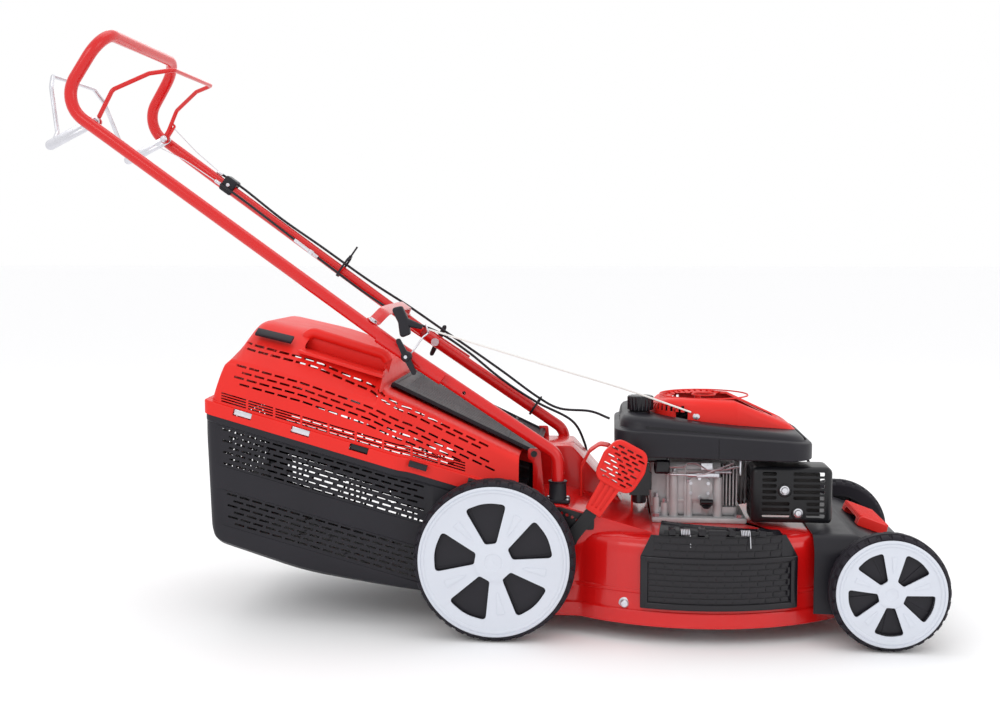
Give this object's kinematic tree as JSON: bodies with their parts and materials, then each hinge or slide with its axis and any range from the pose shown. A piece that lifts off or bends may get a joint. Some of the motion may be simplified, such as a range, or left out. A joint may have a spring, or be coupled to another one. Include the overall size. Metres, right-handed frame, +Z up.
{
  "type": "push lawn mower",
  "caption": "Walk-behind petrol lawn mower with a domed cutting deck, folding tube handle, dead-man bails, rear grass catcher and raised-hub wheels.",
  "frame": {"origin": "middle of the bounding box at ground level, where the tyres stand", "axes": "+X forward, the way the mower is pushed; +Y to the operator's left; +Z up"},
  "size_m": [1.601, 0.543, 1.0639],
  "materials": {
    "red_paint": "gloss red enamel",
    "red_plastic": "moulded, slightly matt",
    "black_plastic": "fine grained moulding",
    "black_metal": "black powder coat",
    "tyre_rubber": "smooth moulded tyre",
    "white_plastic": "smooth pale grey moulding",
    "zinc": "bright zinc plate",
    "alloy": "as cast",
    "steel": "plain steel",
    "belt_rubber": "v-belt",
    "rope": "braided cord"
  },
  "bodies": {
    "chassis": {"deck_shell": "red_paint", "front_apron": "black_plastic", "front_carry_handle": "red_plastic", "rear_carry_handle": "red_plastic", "handle_sockets": "black_plastic", "lower_handles": "red_paint", "bolts": "zinc", "height_quadrant": "black_metal", "discharge_bracket": "black_plastic", "hinge_hardware": "zinc", "crankcase": "alloy", "cylinder_block": "alloy", "piston": "alloy", "muffler": "steel", "muffler_guard": "black_metal", "spark_plug": "black_plastic", "carburettor": "alloy", "air_filter_box": "black_plastic", "engine_shroud": "black_plastic", "recoil_cover": "red_plastic", "fuel_tank": "black_plastic", "drive_belt": "belt_rubber", "starter_rope": "rope"},
    "rear_axle": {"rear_axle_carrier": "steel", "gearbox": "alloy", "height_lever_arm": "black_metal", "height_lever_grip": "red_plastic"},
    "drive_shaft": {"drive_shaft": "steel"},
    "gearbox_pulley": {"gearbox_pulley": "steel"},
    "front_axle": {"front_axle_carrier": "steel"},
    "height_link": {"height_link": "zinc"},
    "wheel_rear_right": {"wheel_rear_right": "tyre_rubber", "hubcap_rear_right": "white_plastic"},
    "wheel_rear_left": {"wheel_rear_left": "tyre_rubber", "hubcap_rear_left": "white_plastic"},
    "wheel_front_right": {"wheel_front_right": "tyre_rubber", "hubcap_front_right": "white_plastic"},
    "wheel_front_left": {"wheel_front_left": "tyre_rubber", "hubcap_front_left": "white_plastic"},
    "crank": {"crankshaft": "steel", "flywheel": "alloy", "blade_adapter": "steel", "blade": "steel"},
    "upper_handle": {"upper_handle": "red_paint", "rope_guide": "zinc", "cable_clip": "black_plastic", "bail_pins": "zinc", "control_cables": "black_plastic"},
    "blade_bail": {"blade_bail": "red_paint"},
    "drive_bail": {"drive_bail": "zinc"},
    "starter_grip": {"starter_grip": "black_plastic"},
    "wing_nut_right": {"wing_nut_right": "black_plastic"},
    "wing_nut_left": {"wing_nut_left": "black_plastic"},
    "catcher": {"catcher_top": "red_plastic", "catcher_base": "black_plastic"},
    "rear_flap": {"rear_flap": "black_plastic"},
    "side_flap": {"side_flap": "black_plastic"},
    "fuel_cap": {"fuel_cap": "black_plastic"},
    "oil_dipstick": {"oil_dipstick": "black_plastic"},
    "starter_pulley": {"starter_pulley": "black_plastic"}
  },
  "joints": [
    {"name": "height_adjust", "type": "hinge", "parent": "chassis", "child": "rear_axle", "pos_m": [0.12364, 0, 0.1175], "axis": [0, -1, 0], "range_deg": [0, 28.95], "deforming": ["drive_belt"]},
    {"name": "front_axle_swing", "type": "hinge", "parent": "chassis", "child": "front_axle", "pos_m": [0.73947, 0, 0.0775], "axis": [0, -1, 0], "range_deg": [0, 60]},
    {"name": "link_pivot", "type": "hinge", "parent": "rear_axle", "child": "height_link", "pos_m": [0.14364, 0, 0.19496], "axis": [0, 1, 0], "range_deg": [0, 28.95]},
    {"name": "drive_shaft_spin", "type": "hinge", "parent": "rear_axle", "child": "drive_shaft", "pos_m": [0.0365, 0, 0.14], "axis": [0, 1, 0], "continuous": true},
    {"name": "gearbox_pulley_spin", "type": "hinge", "parent": "rear_axle", "child": "gearbox_pulley", "pos_m": [0.0415, -0.098, 0.166], "axis": [0, 0, -1], "continuous": true},
    {"name": "rear_right_roll", "type": "hinge", "parent": "rear_axle", "child": "wheel_rear_right", "pos_m": [0.0365, -0.2465, 0.14], "axis": [0, 1, 0], "continuous": true},
    {"name": "rear_left_roll", "type": "hinge", "parent": "rear_axle", "child": "wheel_rear_left", "pos_m": [0.0365, 0.2465, 0.14], "axis": [0, 1, 0], "continuous": true},
    {"name": "front_right_roll", "type": "hinge", "parent": "front_axle", "child": "wheel_front_right", "pos_m": [0.7005, -0.249, 0.1], "axis": [0, 1, 0], "continuous": true},
    {"name": "front_left_roll", "type": "hinge", "parent": "front_axle", "child": "wheel_front_left", "pos_m": [0.7005, 0.249, 0.1], "axis": [0, 1, 0], "continuous": true},
    {"name": "crank_spin", "type": "hinge", "parent": "chassis", "child": "crank", "pos_m": [0.3965, 0, 0.18], "axis": [0, 0, -1], "continuous": true},
    {"name": "handle_fold", "type": "hinge", "parent": "chassis", "child": "upper_handle", "pos_m": [-0.1215, 0, 0.485], "axis": [0, 1, 0], "range_deg": [0, 50], "deforming": ["control_cables", "starter_rope"]},
    {"name": "blade_bail_pull", "type": "hinge", "parent": "upper_handle", "child": "blade_bail", "pos_m": [-0.6815, 0, 0.898], "axis": [0, -1, 0], "range_deg": [0, 35], "stiffness_Nm_per_rad": 1.2, "springref_deg": -28.65},
    {"name": "drive_bail_pull", "type": "hinge", "parent": "upper_handle", "child": "drive_bail", "pos_m": [-0.6815, 0, 0.898], "axis": [0, 1, 0], "range_deg": [0, 50], "stiffness_Nm_per_rad": 1, "springref_deg": -34.38},
    {"name": "starter_pull", "type": "slide", "parent": "upper_handle", "child": "starter_grip", "axis": [-0.6429, 0, 0.7659], "range_m": [0, 0.35], "stiffness_N_per_m": 20, "springref_m": -0.1},
    {"name": "starter_pulley_spin", "type": "hinge", "parent": "chassis", "child": "starter_pulley", "pos_m": [0.3965, 0, 0.379], "axis": [0, 0, -1], "range_deg": [0, 670]},
    {"name": "wing_nut_right_turn", "type": "hinge", "parent": "chassis", "child": "wing_nut_right", "pos_m": [-0.1215, -0.205, 0.485], "axis": [0, -1, 0], "continuous": true},
    {"name": "wing_nut_left_turn", "type": "hinge", "parent": "chassis", "child": "wing_nut_left", "pos_m": [-0.1215, 0.205, 0.485], "axis": [0, 1, 0], "continuous": true},
    {"name": "catcher_lift_off", "type": "slide", "parent": "chassis", "child": "catcher", "axis": [-0.9041, 0, 0.4274], "range_m": [0, 0.45]},
    {"name": "rear_flap_lift", "type": "hinge", "parent": "chassis", "child": "rear_flap", "pos_m": [0.0985, 0, 0.3085], "axis": [0, 1, 0], "range_deg": [0, 50], "stiffness_Nm_per_rad": 0.3, "springref_deg": -17.19},
    {"name": "side_flap_lift", "type": "hinge", "parent": "chassis", "child": "side_flap", "pos_m": [0.4205, -0.262, 0.197], "axis": [-1, 0, 0], "range_deg": [0, 80], "stiffness_Nm_per_rad": 0.15, "springref_deg": -28.65},
    {"name": "fuel_cap_turn", "type": "hinge", "parent": "chassis", "child": "fuel_cap", "pos_m": [0.2885, -0.058, 0.39], "axis": [0, 0, 1], "continuous": true},
    {"name": "dipstick_turn", "type": "hinge", "parent": "chassis", "child": "oil_dipstick", "pos_m": [0.4065, -0.106, 0.213], "axis": [0, -0.7761, 0.6306], "continuous": true}
  ],
  "couplings": [
    {"joint": "front_axle_swing", "follows": "height_adjust", "ratio": 2.0721},
    {"joint": "link_pivot", "follows": "height_adjust", "ratio": 1},
    {"joint": "gearbox_pulley_spin", "follows": "crank_spin", "ratio": 0.6579},
    {"joint": "starter_pulley_spin", "follows": "starter_pull", "rad_per_m": 33.333}
  ]
}
